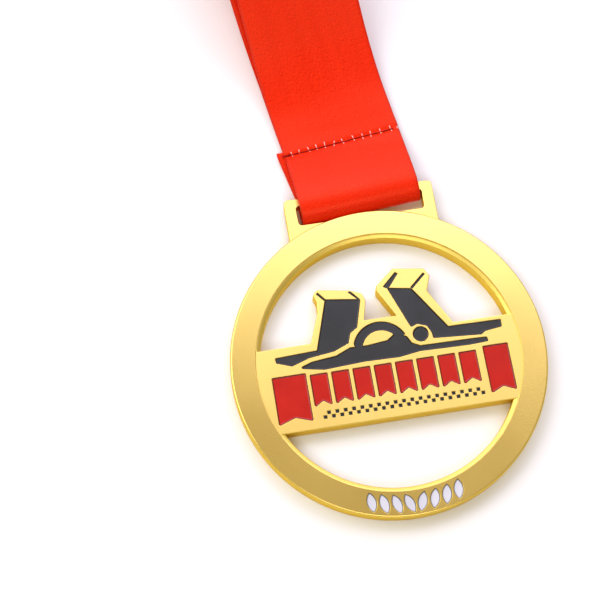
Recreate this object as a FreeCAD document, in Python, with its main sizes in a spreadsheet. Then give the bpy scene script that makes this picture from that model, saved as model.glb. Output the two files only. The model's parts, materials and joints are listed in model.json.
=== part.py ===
"""Sports finisher medal: an openwork zinc casting with enamel fills, hung on a satin neck ribbon.

Frame: the medal lies on its back face, +Z is the way its face looks, +Y points from the ring's
centre to the ribbon lug, and the origin is the ring's centre on the back face.  Millimetres.
"""
import FreeCAD, Part
import math
import os
import Sketcher

Vector = FreeCAD.Vector
Z_AXIS = Vector(0, 0, 1)

DIMENSIONS = {
    # ring and plate
    "medal_radius": 38.0,
    "face_inner_radius": 31.9,
    "hole_radius": 30.9,
    "ring_thick": 4.8,
    "plate_thick": 4.5,
    "lip_bevel": 0.85,
    "lip_drop": 0.4,
    "rim_round": 0.5,
    "plate_half": 32.4,
    "plate_low": -14.2,
    "plate_shoulder": 6.7,
    "plate_saddle": 10.5,
    "tower_round": 0.9,
    # lug that carries the ribbon
    "lug_width": 37.2,
    "lug_root": 32.3,
    "lug_top": 44.1,
    "lug_back": 1.0,
    "lug_thick": 2.9,
    "lug_round": 1.1,
    "slot_width": 31.4,
    "slot_low": 37.1,
    "slot_high": 42.1,
    "slot_round": 0.9,
    # enamel
    "pocket_depth": 0.8,
    "enamel_recess": 0.35,
    "pool_round": 0.35,
    # row of red pennants across the plate
    "pennant_top": -0.9,
    "pennant_height": 8.1,
    "pennant_width": 4.3,
    "pennant_pitch": 5.15,
    "pennant_first": -17.3,
    "pennant_notch": 1.4,
    "end_pennant_top": -0.3,
    "end_pennant_height": 11.8,
    "left_pennant_width": 8.2,
    "left_pennant_centre": -24.4,
    "right_pennant_width": 6.2,
    "right_pennant_centre": 25.7,
    # chequered line under the pennants
    "chequer_low": -12.0,
    "chequer_left": -17.8,
    "chequer_pitch": 1.0,
    "chequer_size": 0.82,
    # white laurel leaves on the ring
    "leaf_ring_radius": 34.85,
    "leaf_length": 4.8,
    "leaf_width": 2.3,
    "leaf_step": 4.9,
    "leaf_lean": 22.0,
    # swimmer: the raised arm is part of a ring
    "arm_reach": 6.8,
    "arm_thick": 2.2,
    "arm_sweep": 135.0,
    "arm_start": 24.0,
    "arm_centre_along": -1.3,
    "arm_centre_up": 2.8,
    "head_radius": 1.9,
    "head_along": 8.6,
    "head_up": 5.0,
    # ribbon
    "ribbon_width": 30.0,
    "ribbon_ply": 0.5,
    "loop_tilt": 4.6,
    "loop_fold": 4.5,
    "loop_length": 15.3,
    "loop_top": 4.95,
    "loop_chamfer": 1.4,
    "loop_shoulder": 1.5,
    "seam_top": 1.65,
    "floor_gap": 0.05,
    "leg_tilt": 9.4,
    "leg_thick": 1.2,
    "leg_run": 68.0,
    "roll_radius": 14.4,
    "stitch_radius": 0.17,
    "stitch_length": 1.5,
    "stitch_pitch": 2.7,
    "stitch_lift": 0.35,
    "seam_inset": 1.0,
    "leg_overlap": 2.0,
}

STEADY_PENNANTS = 8
LEAVES_PER_SIDE = 4
CHEQUER_COLUMNS = 39
STITCHES = 11
DISTINCT_TURN = 25.0    # degrees; gentler corners of a colour field stay sharp

# Outlines on the plate, in millimetres from the ring's centre.  A text entry is a cell of the sheet.
LEFT_TOWER = [(-4.3, "plate_saddle"), (-3.0, 15.4), (-3.6, 17.3), (-6.6, 18.5), (-14.4, 19.8),
              (-15.4, 18.6), (-14.8, 16.8), (-15.0, 14.2), (-17.9, "plate_shoulder")]
RIGHT_TOWER = [(16.9, "plate_shoulder"), (12.1, 15.5), (13.5, 19.2), (12.4, 21.3), (4.8, 22.4), (0.2, 18.6),
               (0.0, 17.3), (3.6, "plate_saddle")]
LEFT_WALL = [(-12.7, 17.1), (-4.2, 15.9), (-6.2, 9.0), (-8.1, 7.8), (-8.9, 5.4), (-12.7, 3.9),
             (-18.8, 3.2), (-23.2, 1.8), (-26.8, 3.1), (-27.0, 4.4), (-16.7, 4.8)]
RIGHT_WALL = [(2.6, 17.7), (8.5, 16.7), (15.5, 5.9), (28.4, 5.7), (28.3, 3.8), (24.1, 3.3), (23.0, 2.6),
              (11.4, 3.5), (11.3, 4.9), (10.4, 6.8), (8.2, 7.6), (6.6, 7.0)]
LEFT_ROOF_LINES = [
    [(-14.6, 18.7), (-13.0, 16.8), (-12.4, 16.9), (-14.2, 19.1)],
    [(-6.9, 18.0), (-4.9, 15.9), (-4.3, 15.9), (-6.4, 18.3)],
]
RIGHT_ROOF_LINES = [
    [(5.3, 21.4), (1.7, 18.1), (2.9, 17.4), (5.9, 20.9)],
    [(12.0, 20.2), (8.2, 16.9), (8.7, 16.5), (12.4, 19.8)],
]
SWIMMER_BODY = [(2.8, 6.4), (5.2, 4.9), (6.1, 3.2), (8.0, 2.2), (21.0, 2.0), (24.2, 1.9), (24.4, 0.7),
                (19.8, 0.5), (7.6, 0.8), (2.6, 0.1), (-5.9, 0.3), (-15.7, -0.2), (-22.0, 1.0),
                (-18.4, 2.2), (-12.4, 2.8), (-8.8, 4.3), (-4.6, 4.2), (0.4, 4.7)]

doc = FreeCAD.newDocument("finisher_medal")


def make_sheet():
    sheet = doc.addObject("Spreadsheet::Sheet", "dims")
    for row, (alias, number) in enumerate(DIMENSIONS.items(), start=1):
        sheet.set("A%d" % row, alias)
        sheet.set("B%d" % row, str(number))
        sheet.setAlias("B%d" % row, alias)
    doc.recompute()
    return sheet


dims = make_sheet()

# A colour field is built twice from one outline: as the fill, and as the cutter of its open pocket.
FIELD_DEPTHS = (("", "dims.pocket_depth - dims.enamel_recess"), ("_cutter", "dims.pocket_depth + 1"))


def size(alias):
    return float(dims.get(alias))


def bound(entry):
    """An outline entry as an expression on the sheet."""
    return "dims.%s" % entry if isinstance(entry, str) and entry in DIMENSIONS else str(entry)


def draw_outline(sketch, corners):
    """Add a closed outline of straight lines whose corners are bound to the sheet."""
    first = sketch.GeometryCount
    count = len(corners)
    angles = [2 * math.pi * k / count for k in range(count)]
    around = [Vector(math.cos(angle), math.sin(angle), 0) for angle in angles]
    for k in range(count):
        sketch.addGeometry(Part.LineSegment(around[k], around[(k + 1) % count]), False)
    for k in range(count):
        sketch.addConstraint(Sketcher.Constraint("Coincident", first + k, 2, first + (k + 1) % count, 1))
    for k, corner in enumerate(corners):
        for kind, entry in zip(("DistanceX", "DistanceY"), corner):
            index = sketch.addConstraint(Sketcher.Constraint(kind, -1, 1, first + k, 1, 1.0))
            sketch.setExpression("Constraints[%d]" % index, bound(entry))


def draw_circle(sketch, radius):
    geometry = sketch.addGeometry(Part.Circle(Vector(0, 0, 0), Z_AXIS, 1.0), False)
    index = sketch.addConstraint(Sketcher.Constraint("Radius", geometry, 1.0))
    sketch.setExpression("Constraints[%d]" % index, bound(radius))
    sketch.addConstraint(Sketcher.Constraint("Coincident", geometry, 3, -1, 1))


def rectangle(half_width, low, high):
    return [("-(%s)" % half_width, low), (half_width, low), (half_width, high), ("-(%s)" % half_width, high)]


def pad(body, name, outlines=(), circles=(), thickness="dims.plate_thick", level="0"):
    """Pad a sketch on the body's own XY plane, raised to the given level."""
    sketch = body.newObject("Sketcher::SketchObject", name + "_sketch")
    plane = [f for f in body.Origin.OriginFeatures if f.Role == "XY_Plane"][0]
    sketch.AttachmentSupport = [(plane, "")]
    sketch.MapMode = "FlatFace"
    sketch.setExpression("AttachmentOffset.Base.z", level)
    for outline in outlines:
        draw_outline(sketch, outline)
    for radius in circles:
        draw_circle(sketch, radius)
    feature = body.newObject("PartDesign::Pad", name)
    feature.Profile = sketch
    feature.setExpression("Length", thickness)
    doc.recompute()
    return feature


def edges_where(shape, wanted):
    return ["Edge%d" % (k + 1) for k, edge in enumerate(shape.Edges) if wanted(edge)]


def upright_near(points):
    """Picks upright edges that stand on one of the given points."""
    def wanted(edge):
        box = edge.BoundBox
        upright = box.XLength < 1e-4 and box.YLength < 1e-4 and box.ZLength > 1.0
        return upright and any(math.hypot(box.XMin - x, box.YMin - y) < 1e-3 for x, y in points)
    return wanted


def dress_edges(body, name, wanted, kind="Fillet", settings=None, **dimensions):
    """Fillet or chamfer the picked edges of the body's last feature."""
    base = body.Tip
    names = edges_where(base.Shape, wanted)
    assert names, "no edges found for " + name
    dressing = body.newObject("PartDesign::" + kind, name)
    dressing.Base = (base, names)
    for setting, choice in (settings or {}).items():
        setattr(dressing, setting, choice)
    for measure, dimension in dimensions.items():
        dressing.setExpression(measure, "dims." + dimension)
    doc.recompute()
    return dressing


def circle_at(radius, heights):
    """Picks circular edges of one radius at the given heights."""
    def wanted(edge):
        curve = edge.Curve
        on_level = any(abs(edge.BoundBox.ZMax - height) < 1e-3 for height in heights)
        return on_level and isinstance(curve, Part.Circle) and abs(curve.Radius - size(radius)) < 1e-3
    return wanted


def corner_points(outline, picks):
    return [tuple(size(v) if isinstance(v, str) else v for v in outline[k]) for k in picks]


def make_blank():
    """The casting before its enamel pockets: ring, lip, plate with two towers, and the lug."""
    body = doc.addObject("PartDesign::Body", "medal_blank")
    pad(body, "lip", circles=["medal_radius", "hole_radius"])
    dress_edges(body, "lip_edge", circle_at("hole_radius", [size("plate_thick")]), "Chamfer",
                {"ChamferType": "Two distances"}, Size="lip_drop", Size2="lip_bevel")
    pad(body, "ring", circles=["medal_radius", "face_inner_radius"], thickness="dims.ring_thick")
    left_end = "-(dims.plate_half)"
    plate = [(left_end, "plate_low"), ("plate_half", "plate_low"), ("plate_half", "plate_shoulder")]
    plate += RIGHT_TOWER + LEFT_TOWER + [(left_end, "plate_shoulder")]
    pad(body, "plate", outlines=[plate])
    lug = rectangle("dims.lug_width / 2", "lug_root", "lug_top")
    slot = rectangle("dims.slot_width / 2", "slot_low", "slot_high")
    pad(body, "lug", outlines=[lug, slot], thickness="dims.lug_thick", level="dims.lug_back")

    half_lug = size("lug_width") / 2
    half_slot = size("slot_width") / 2
    lug_corners = [(-half_lug, size("lug_top")), (half_lug, size("lug_top"))]
    slot_corners = [(x, size(y)) for x in (-half_slot, half_slot) for y in ("slot_low", "slot_high")]
    tower_corners = corner_points(LEFT_TOWER, (2, 4)) + corner_points(RIGHT_TOWER, (3, 4))
    dress_edges(body, "lug_corners", upright_near(lug_corners), Radius="lug_round")
    dress_edges(body, "slot_corners", upright_near(slot_corners), Radius="slot_round")
    dress_edges(body, "tower_corners", upright_near(tower_corners), Radius="tower_round")
    dress_edges(body, "rim_edges", circle_at("medal_radius", [0, size("ring_thick")]), Radius="rim_round")
    return body


def extrude(sketch, name, thickness):
    solid = doc.addObject("Part::Extrusion", name)
    solid.Base = sketch
    solid.DirMode = "Normal"
    solid.Solid = True
    solid.setExpression("LengthFwd", thickness)
    return solid


def is_corner(shape, edge):
    """Whether an edge stands upright where two walls meet at a distinct angle."""
    if edge.BoundBox.XLength + edge.BoundBox.YLength > 1e-4:
        return False
    first, second = [face.normalAt(0, 0) for face in shape.ancestorsOfType(edge, Part.Face)]
    return math.degrees(first.getAngle(second)) > DISTINCT_TURN


def soften(solid):
    """Round the distinct upright corners of an extruded colour field."""
    doc.recompute()
    shape = solid.Shape
    radius = size("pool_round")
    rounded = doc.addObject("Part::Fillet", solid.Name + "_rounded")
    rounded.Base = solid
    rounded.Edges = [(k + 1, radius, radius) for k, edge in enumerate(shape.Edges) if is_corner(shape, edge)]
    return rounded


def make_pool(name, outlines, place=None, rounded=True):
    """One enamel colour field on the plate: the fill that stays, and the cutter of its pocket."""
    sketch = doc.addObject("Sketcher::SketchObject", name + "_sketch")
    for outline in outlines:
        draw_outline(sketch, outline)
    for axis, expression in (place or {}).items():
        sketch.setExpression("Placement.Base." + axis, expression)
    sketch.setExpression("Placement.Base.z", "dims.plate_thick - dims.pocket_depth")
    pair = [extrude(sketch, name + suffix, thickness) for suffix, thickness in FIELD_DEPTHS]
    return [soften(solid) for solid in pair] if rounded else pair


def make_tower(name, wall, roof_lines):
    """A tower's wall with the two roof lines that rise from its upper corners."""
    parts = zip(make_pool(name + "_wall", [wall]), make_pool(name + "_roof", roof_lines, rounded=False))
    towers = []
    for pieces, (suffix, _) in zip(parts, FIELD_DEPTHS):
        tower = doc.addObject("Part::MultiFuse", name + suffix)
        tower.Shapes = list(pieces)
        towers.append(tower)
    return towers


def make_pennant(name, centre, top, width, height):
    """A swallow-tailed pennant that hangs from its top edge."""
    half = "dims.%s / 2" % width
    drop = "-dims.%s" % height
    notch = drop + " + dims.pennant_notch"
    outline = [("-" + half, 0), ("-" + half, drop), (0, notch), (half, drop), (half, 0)]
    return make_pool(name, [outline], place={"x": centre, "y": "dims." + top})


def upright_cylinder(name, radius, thickness, centre):
    """A cylinder that stands on the floor of the plate's pockets."""
    cylinder = doc.addObject("Part::Cylinder", name)
    cylinder.setExpression("Radius", radius)
    cylinder.setExpression("Height", thickness)
    for axis, expression in zip("xy", centre):
        cylinder.setExpression("Placement.Base." + axis, expression)
    cylinder.setExpression("Placement.Base.z", "dims.plate_thick - dims.pocket_depth")
    return cylinder


def make_arm(name, thickness):
    """The swimmer's raised arm: a stretch of a ring with a round hand at its end."""
    centre = ("dims.arm_centre_along", "dims.arm_centre_up")
    outer = upright_cylinder(name + "_outer", "dims.arm_reach", thickness, centre)
    outer.setExpression("Angle", "dims.arm_sweep")
    outer.Placement.Rotation = FreeCAD.Rotation(Z_AXIS, size("arm_start"))
    inner = upright_cylinder(name + "_inner", "dims.arm_reach - dims.arm_thick", thickness, centre)
    arm = doc.addObject("Part::Cut", name)
    arm.Base = outer
    arm.Tool = inner
    middle = "(dims.arm_reach - dims.arm_thick / 2)"
    turn = "((dims.arm_start + dims.arm_sweep) * 1 deg)"
    hand_centre = ["%s + %s * %s(%s)" % (along, middle, wave, turn)
                   for along, wave in zip(centre, ("cos", "sin"))]
    return [arm, upright_cylinder(name + "_hand", "dims.arm_thick / 2", thickness, hand_centre)]


def make_swimmer():
    """The swimmer's body with the raised arm, and the head as a round field of its own."""
    body = make_pool("swimmer_trunk", [SWIMMER_BODY])
    pair = []
    heads = []
    for trunk, (suffix, thickness) in zip(body, FIELD_DEPTHS):
        figure = doc.addObject("Part::MultiFuse", "enamel_swimmer_body" + suffix)
        figure.Shapes = [trunk] + make_arm("swimmer_arm" + suffix, thickness)
        pair.append(figure)
        heads.append(upright_cylinder("enamel_swimmer_head" + suffix, "dims.head_radius", thickness,
                                      ("dims.head_along", "dims.head_up")))
    return [pair, heads]


def make_lens(name, thickness, place, turn):
    """A pointed leaf: what two equal cylinders share."""
    radius = "(dims.leaf_length ^ 2 + dims.leaf_width ^ 2) / (4 * dims.leaf_width)"
    halves = []
    for side, sign in (("left", "-"), ("right", "")):
        half = doc.addObject("Part::Cylinder", "%s_%s" % (name, side))
        half.setExpression("Radius", radius)
        half.setExpression("Height", thickness)
        half.setExpression("Placement.Base.x", "%s(%s - dims.leaf_width / 2)" % (sign, radius))
        halves.append(half)
    lens = doc.addObject("Part::Common", name)
    lens.Base, lens.Tool = halves
    lens.Placement = FreeCAD.Placement(Vector(*place), FreeCAD.Rotation(Z_AXIS, turn))
    lens.setExpression("Placement.Base.z", "dims.ring_thick - dims.pocket_depth")
    return lens


def make_leaf(name, side, number):
    """A laurel leaf on the ring, leaning away from the bottom centre on its own side."""
    around = side * size("leaf_step") * (number - 0.5)
    angle = math.radians(around)
    radius = size("leaf_ring_radius")
    place = (radius * math.sin(angle), -radius * math.cos(angle), 0)
    turn = around - side * size("leaf_lean")
    return [make_lens(name + suffix, thickness, place, turn) for suffix, thickness in FIELD_DEPTHS]


def make_chequer(name, thickness):
    """Two rows of small squares, every other one filled."""
    squares = []
    for column in range(CHEQUER_COLUMNS):
        square = doc.addObject("Part::Box", "%s_%d" % (name, column + 1))
        for side in ("Length", "Width"):
            square.setExpression(side, "dims.chequer_size")
        square.setExpression("Height", thickness)
        square.setExpression("Placement.Base.x", "dims.chequer_left + %d * dims.chequer_pitch" % column)
        square.setExpression("Placement.Base.y", "dims.chequer_low + %d * dims.chequer_pitch" % (column % 2))
        square.setExpression("Placement.Base.z", "dims.plate_thick - dims.pocket_depth")
        squares.append(square)
    group = doc.addObject("Part::Compound", name)
    group.Links = squares
    return group


def make_enamel():
    """All colour fields by node name, each as a pair of fill and cutter."""
    fields = {
        "enamel_left_tower": make_tower("left_tower", LEFT_WALL, LEFT_ROOF_LINES),
        "enamel_right_tower": make_tower("right_tower", RIGHT_WALL, RIGHT_ROOF_LINES),
    }
    fields["enamel_swimmer_body"], fields["enamel_swimmer_head"] = make_swimmer()
    for side in ("left", "right"):
        fields["enamel_pennant_" + side] = make_pennant(
            "pennant_" + side, "dims.%s_pennant_centre" % side, "end_pennant_top", side + "_pennant_width",
            "end_pennant_height")
    for k in range(STEADY_PENNANTS):
        fields["enamel_pennant_%d" % (k + 1)] = make_pennant(
            "pennant_%d" % (k + 1), "dims.pennant_first + %d * dims.pennant_pitch" % k, "pennant_top",
            "pennant_width", "pennant_height")
    for side, word in ((-1, "left"), (1, "right")):
        for number in range(1, LEAVES_PER_SIDE + 1):
            leaf = "leaf_%s_%d" % (word, number)
            fields["enamel_" + leaf] = make_leaf(leaf, side, number)
    fields["enamel_chequered_line"] = [make_chequer("chequer" + suffix, thickness)
                                       for suffix, thickness in FIELD_DEPTHS]
    for name, pair in fields.items():
        pair[0].Label = name
    return list(fields.values())


def make_casting(blank, cutters):
    all_cutters = doc.addObject("Part::Compound", "pocket_cutters")
    all_cutters.Links = cutters
    casting = doc.addObject("Part::Cut", "medal_casting")
    casting.Base = blank
    casting.Tool = all_cutters
    casting.Label = "medal_casting"
    return casting


def bar_centre():
    """Middle of the lug's bar, which the ribbon turns about."""
    return Vector(0, (size("slot_high") + size("lug_top")) / 2, size("lug_back") + size("lug_thick") / 2)


def swept_band(profile, tilt, foot):
    """Extrude a face drawn in the YZ plane to the ribbon's width, turned in plan about its foot."""
    band = profile.extrude(Vector(size("ribbon_width"), 0, 0))
    band.translate(Vector(-size("ribbon_width") / 2, 0, 0))
    band.rotate(Vector(0, 0, 0), Z_AXIS, tilt)
    band.translate(Vector(foot.x, foot.y, 0))
    return band


def polygon_face(points):
    return Part.Face(Part.makePolygon([Vector(0, y, z) for y, z in points + points[:1]]))


def loop_profile():
    """The sewn loop round the bar: front ply, fold in the slot and back ply."""
    ply = size("ribbon_ply")
    low = size("floor_gap")
    top = size("loop_top")
    fold = -size("loop_fold")
    end = size("loop_length")
    chamfer = size("loop_chamfer")
    shoulder = size("loop_shoulder")
    outside = [(fold, low + chamfer), (fold + chamfer, low), (end, low), (end, size("seam_top")),
               (shoulder, top), (fold + chamfer, top), (fold, top - chamfer)]
    mouth = end - 4 * ply
    inside = [(fold + ply, low + chamfer), (fold + chamfer, low + ply), (mouth, low + ply),
              (mouth, low + 2 * ply), (shoulder, top - ply), (fold + chamfer, top - ply),
              (fold + ply, top - chamfer)]
    return polygon_face(outside).cut(polygon_face(inside))


def leg_profile():
    """Both legs together, from the seam up in two equal arcs to the top of the roll."""
    half = size("leg_thick") / 2
    run = size("leg_run")
    low = size("floor_gap") + half
    high = size("floor_gap") + 2 * size("roll_radius") - half
    angle = 2 * math.atan((high - low) / run)
    radius = run / (2 * math.sin(angle))

    def rail(offset):
        first = Vector(0, 0, low + radius)
        last = Vector(0, run, high - radius)
        edges = []
        for centre, reach, start, stop in ((first, radius - offset, -math.pi / 2, angle - math.pi / 2),
                                           (last, radius + offset, angle + math.pi / 2, math.pi / 2)):
            angles = (start, (start + stop) / 2, stop)
            points = [centre + Vector(0, reach * math.cos(a), reach * math.sin(a)) for a in angles]
            edges.append(Part.Arc(*points).toShape())
        return edges

    lower = rail(-half)
    upper = rail(half)
    ends = [Part.LineSegment(lower[0].Vertexes[0].Point, upper[0].Vertexes[0].Point).toShape(),
            Part.LineSegment(lower[1].Vertexes[-1].Point, upper[1].Vertexes[-1].Point).toShape()]
    return Part.Face(Part.Wire(Part.__sortEdges__(lower + upper + ends)))


def seam_centre():
    tilt = math.radians(size("loop_tilt"))
    reach = size("loop_length")
    return bar_centre() + Vector(-reach * math.sin(tilt), reach * math.cos(tilt), 0)


def make_ribbon():
    """Sewn loop, legs and the rolled-up rest of the neck ribbon, one closed solid."""
    seam = seam_centre()
    loop = doc.addObject("Part::Feature", "ribbon_loop")
    loop.Shape = swept_band(loop_profile(), size("loop_tilt"), bar_centre())
    legs = doc.addObject("Part::Feature", "ribbon_legs")
    legs.Shape = swept_band(leg_profile(), size("leg_tilt"), seam - seam_overlap())
    roll = doc.addObject("Part::Cylinder", "ribbon_roll")
    roll.setExpression("Radius", "dims.roll_radius")
    roll.setExpression("Height", "dims.ribbon_width")
    tilt = math.radians(size("leg_tilt"))
    along = Vector(math.cos(tilt), math.sin(tilt), 0)
    uphill = Vector(-math.sin(tilt), math.cos(tilt), 0)
    centre = seam - seam_overlap() + uphill * size("leg_run") - along * (size("ribbon_width") / 2)
    centre.z = size("floor_gap") + size("roll_radius")
    roll.Placement = FreeCAD.Placement(centre, FreeCAD.Rotation(Z_AXIS, along))
    ribbon = doc.addObject("Part::MultiFuse", "neck_ribbon")
    ribbon.Shapes = [loop, legs, roll]
    ribbon.Label = "neck_ribbon"
    return ribbon


def seam_overlap():
    """How far the legs reach back under the seam."""
    tilt = math.radians(size("leg_tilt"))
    return Vector(-math.sin(tilt), math.cos(tilt), 0) * size("leg_overlap")


def make_seam_thread():
    """The row of short stitches that holds the three plies together."""
    tilt = math.radians(size("loop_tilt"))
    along = Vector(math.cos(tilt), math.sin(tilt), 0)
    uphill = Vector(-math.sin(tilt), math.cos(tilt), 0)
    middle = seam_centre() - uphill * size("seam_inset")
    middle.z = size("seam_top") + size("stitch_radius") + size("stitch_lift")
    stitches = []
    for k in range(STITCHES):
        stitch = doc.addObject("Part::Cylinder", "stitch_%d" % (k + 1))
        stitch.setExpression("Radius", "dims.stitch_radius")
        stitch.setExpression("Height", "dims.stitch_length")
        reach = (k - (STITCHES - 1) / 2) * size("stitch_pitch") - size("stitch_length") / 2
        stitch.Placement = FreeCAD.Placement(middle + along * reach, FreeCAD.Rotation(Z_AXIS, along))
        stitches.append(stitch)
    thread = doc.addObject("Part::Compound", "seam_thread")
    thread.Links = stitches
    thread.Label = "seam_thread"
    return thread


def export(nodes):
    doc.recompute()
    for item in doc.Objects:
        if "Invalid" in item.State or "Error" in item.State:
            raise RuntimeError("%s failed to recompute: %s" % (item.Name, item.State))
    os.makedirs("parts", exist_ok=True)
    for node in nodes:
        shape = node.Shape
        if shape.isNull() or not shape.isValid():
            raise RuntimeError("bad shape: " + node.Label)
        shape.exportStep("parts/%s.step" % node.Label)
        print("%-28s solids %2d  volume %9.2f mm3" % (node.Label, len(shape.Solids), shape.Volume))


blank = make_blank()
enamel = make_enamel()
casting = make_casting(blank, [cutter for fill, cutter in enamel])
export([casting] + [fill for fill, cutter in enamel] + [make_ribbon(), make_seam_thread()])
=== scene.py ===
"""Sports finisher medal: gold casting, enamel fills and a satin neck ribbon, on a pale floor."""
import json
import math
import random

import bmesh
import bpy
import numpy as np
from mathutils import Matrix, Vector
from mathutils.geometry import delaunay_2d_cdt


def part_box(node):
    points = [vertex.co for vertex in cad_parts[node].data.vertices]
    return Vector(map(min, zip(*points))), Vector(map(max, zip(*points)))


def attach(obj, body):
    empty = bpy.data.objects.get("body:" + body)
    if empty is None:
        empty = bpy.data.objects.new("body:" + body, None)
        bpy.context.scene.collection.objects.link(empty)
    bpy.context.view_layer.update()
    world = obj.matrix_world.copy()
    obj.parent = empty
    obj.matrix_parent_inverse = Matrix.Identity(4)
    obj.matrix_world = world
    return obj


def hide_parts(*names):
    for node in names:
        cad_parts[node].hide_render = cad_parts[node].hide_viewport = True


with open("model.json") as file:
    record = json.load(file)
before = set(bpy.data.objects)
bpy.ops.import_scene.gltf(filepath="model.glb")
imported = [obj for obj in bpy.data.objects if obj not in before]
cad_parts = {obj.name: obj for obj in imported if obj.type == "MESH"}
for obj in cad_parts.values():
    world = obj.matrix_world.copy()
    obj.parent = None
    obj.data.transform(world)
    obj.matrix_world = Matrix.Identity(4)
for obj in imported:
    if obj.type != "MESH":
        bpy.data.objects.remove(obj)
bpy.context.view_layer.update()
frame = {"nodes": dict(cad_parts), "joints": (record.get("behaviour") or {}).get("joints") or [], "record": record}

MM = 0.001
PLASTIC_IOR = 1.5
WALL_SHADE_SHARE = 0.15       # of the enamel's colour that is left in the painted shade where it climbs the walls
COAT = 0.6              # weight of the enamel's clear coat, away from the walls
WARP_PITCH = 0.00024    # metres between the satin's warp yarns
TWILL_LEAN = 0.35       # slant of the satin's short floats to the ribbon's length
SELVEDGE_SHADE_FROM = 0.0142  # metres from the ribbon's middle line, where the painted shade along the selvedge begins
SELVEDGE_SHADE_TO = 0.0149
random.seed(7)

# ---------------------------------------------------------------- shading helpers


class Shader:
    """A material with a Principled shader and short calls to add nodes to it."""

    def __init__(self, name, **sockets):
        self.material = bpy.data.materials.new(name)
        self.material.use_nodes = True
        self.nodes = self.material.node_tree.nodes
        self.links = self.material.node_tree.links
        self.surface = self.nodes["Principled BSDF"]
        for socket, value in sockets.items():
            self.surface.inputs[socket.replace("_", " ")].default_value = value

    def add(self, kind, settings=None, **inputs):
        """A node with its settings and inputs. An input is called by its name, or _3 for the fourth one."""
        node = self.nodes.new("ShaderNode" + kind)
        for name, value in (settings or {}).items():
            setattr(node, name, value)
        for name, value in inputs.items():
            key = int(name[1:]) if name[0] == "_" else name.replace("_", " ")
            self.put(value, node.inputs[key])
        return node

    def put(self, value, socket):
        if isinstance(value, bpy.types.NodeSocket):
            self.links.new(value, socket)
        else:
            socket.default_value = value

    def place(self):
        """Position in the row frame, in metres."""
        return self.add("TexCoord").outputs["Object"]

    def noise(self, vector, scale, detail=2.0, rough=0.5):
        return self.add("TexNoise", Vector=vector, Scale=scale, Detail=detail, Roughness=rough).outputs["Fac"]

    def math(self, operation, a, b=0.0, c=0.0):
        return self.add("Math", {"operation": operation}, _0=a, _1=b, _2=c).outputs[0]

    def scaled(self, vector, factors):
        return self.add("VectorMath", {"operation": "MULTIPLY"}, _0=vector, _1=factors).outputs[0]

    def span(self, value, low, high, to_low=0.0, to_high=1.0):
        node = self.add("MapRange", Value=value, From_Min=low, From_Max=high, To_Min=to_low, To_Max=to_high)
        return node.outputs["Result"]

    def mix(self, factor, a, b):
        """Mix of two colours, which are the node's seventh and eighth inputs and third output."""
        node = self.add("Mix", {"data_type": "RGBA"}, _0=factor, _6=a, _7=b)
        return node.outputs[2]

    def bump(self, height, distance, strength=1.0, below=None):
        extra = {} if below is None else {"Normal": below}
        node = self.add("Bump", Height=height, Distance=distance, Strength=strength, **extra)
        return node.outputs["Normal"]

    def set(self, socket, value):
        self.put(value, self.surface.inputs[socket])


def gold_material(name, smooth, coarse, thin=(0.94, 0.645, 0.17, 1), full=(0.98, 0.70, 0.20, 1)):
    """Satin gold plate: fine grain, very faint casting waves, uneven tone."""
    s = Shader(name, Metallic=1.0, Specular_Tint=(1.0, 0.80, 0.32, 1))
    place = s.place()
    grain = s.noise(place, 5200.0, 2.0)
    cloud = s.noise(place, 40.0, 2.0)
    waves = s.noise(place, 70.0, 1.0)
    s.set("Base Color", s.mix(cloud, thin, full))
    wear = s.math("ADD", s.math("MULTIPLY", grain, 0.5), cloud)
    s.set("Roughness", s.span(wear, 0.5, 1.0, smooth, coarse))
    s.set("Normal", s.bump(grain, 0.000004, 0.25, s.bump(waves, 0.00002, 0.25)))
    return s.material


def gold_plate():
    return gold_material("gold_plate", 0.22, 0.28)


def gold_blasted():
    return gold_material("gold_blasted", 0.34, 0.42)


def gold_wall_shaded():
    """Rougher plating of the walls and bevels, in a darker colour that paints their shade."""
    return gold_material("gold_wall_shaded", 0.34, 0.42, (0.78, 0.58, 0.12, 1), (0.82, 0.62, 0.14, 1))


def enamel_material(name, deep, light, roughness):
    """Soft enamel: coloured resin with small flow marks, with painted shade where it climbs the metal: darker
    colour, no clear coat.
    """
    s = Shader(name, Coat_Weight=COAT, Coat_Roughness=0.06, Specular_IOR_Level=0.2, IOR=PLASTIC_IOR)
    place = s.place()
    flow = s.noise(place, 160.0, 2.0)
    specks = s.noise(place, 3800.0, 1.0)
    shade = s.span(s.math("ADD", flow, s.math("MULTIPLY", specks, 0.03)), 0.35, 0.7)
    climb = s.add("Attribute", {"attribute_name": "climb"}).outputs["Fac"]
    # Painted shade where the enamel climbs its walls: the colour darkens and the clear coat fades out.
    edge = tuple(WALL_SHADE_SHARE * part for part in deep[:3]) + (1,)
    s.set("Base Color", s.mix(s.span(climb, 0.03, 0.4), s.mix(shade, deep, light), edge))
    s.set("Coat Weight", s.span(climb, 0.2, 0.6, COAT, 0.0))
    s.set("Roughness", s.span(specks, 0.3, 0.7, roughness - 0.02, roughness + 0.03))
    s.set("Normal", s.bump(specks, 0.000002, 0.1, s.bump(flow, 0.00015, 0.4)))
    return s.material


def enamel_black():
    return enamel_material("enamel_black", (0.030, 0.030, 0.034, 1), (0.037, 0.037, 0.042, 1), 0.24)


def enamel_red():
    return enamel_material("enamel_red", (0.48, 0.007, 0.002, 1), (0.55, 0.010, 0.004, 1), 0.22)


def enamel_white():
    return enamel_material("enamel_white", (0.61, 0.60, 0.67, 1), (0.68, 0.67, 0.74, 1), 0.25)


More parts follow.
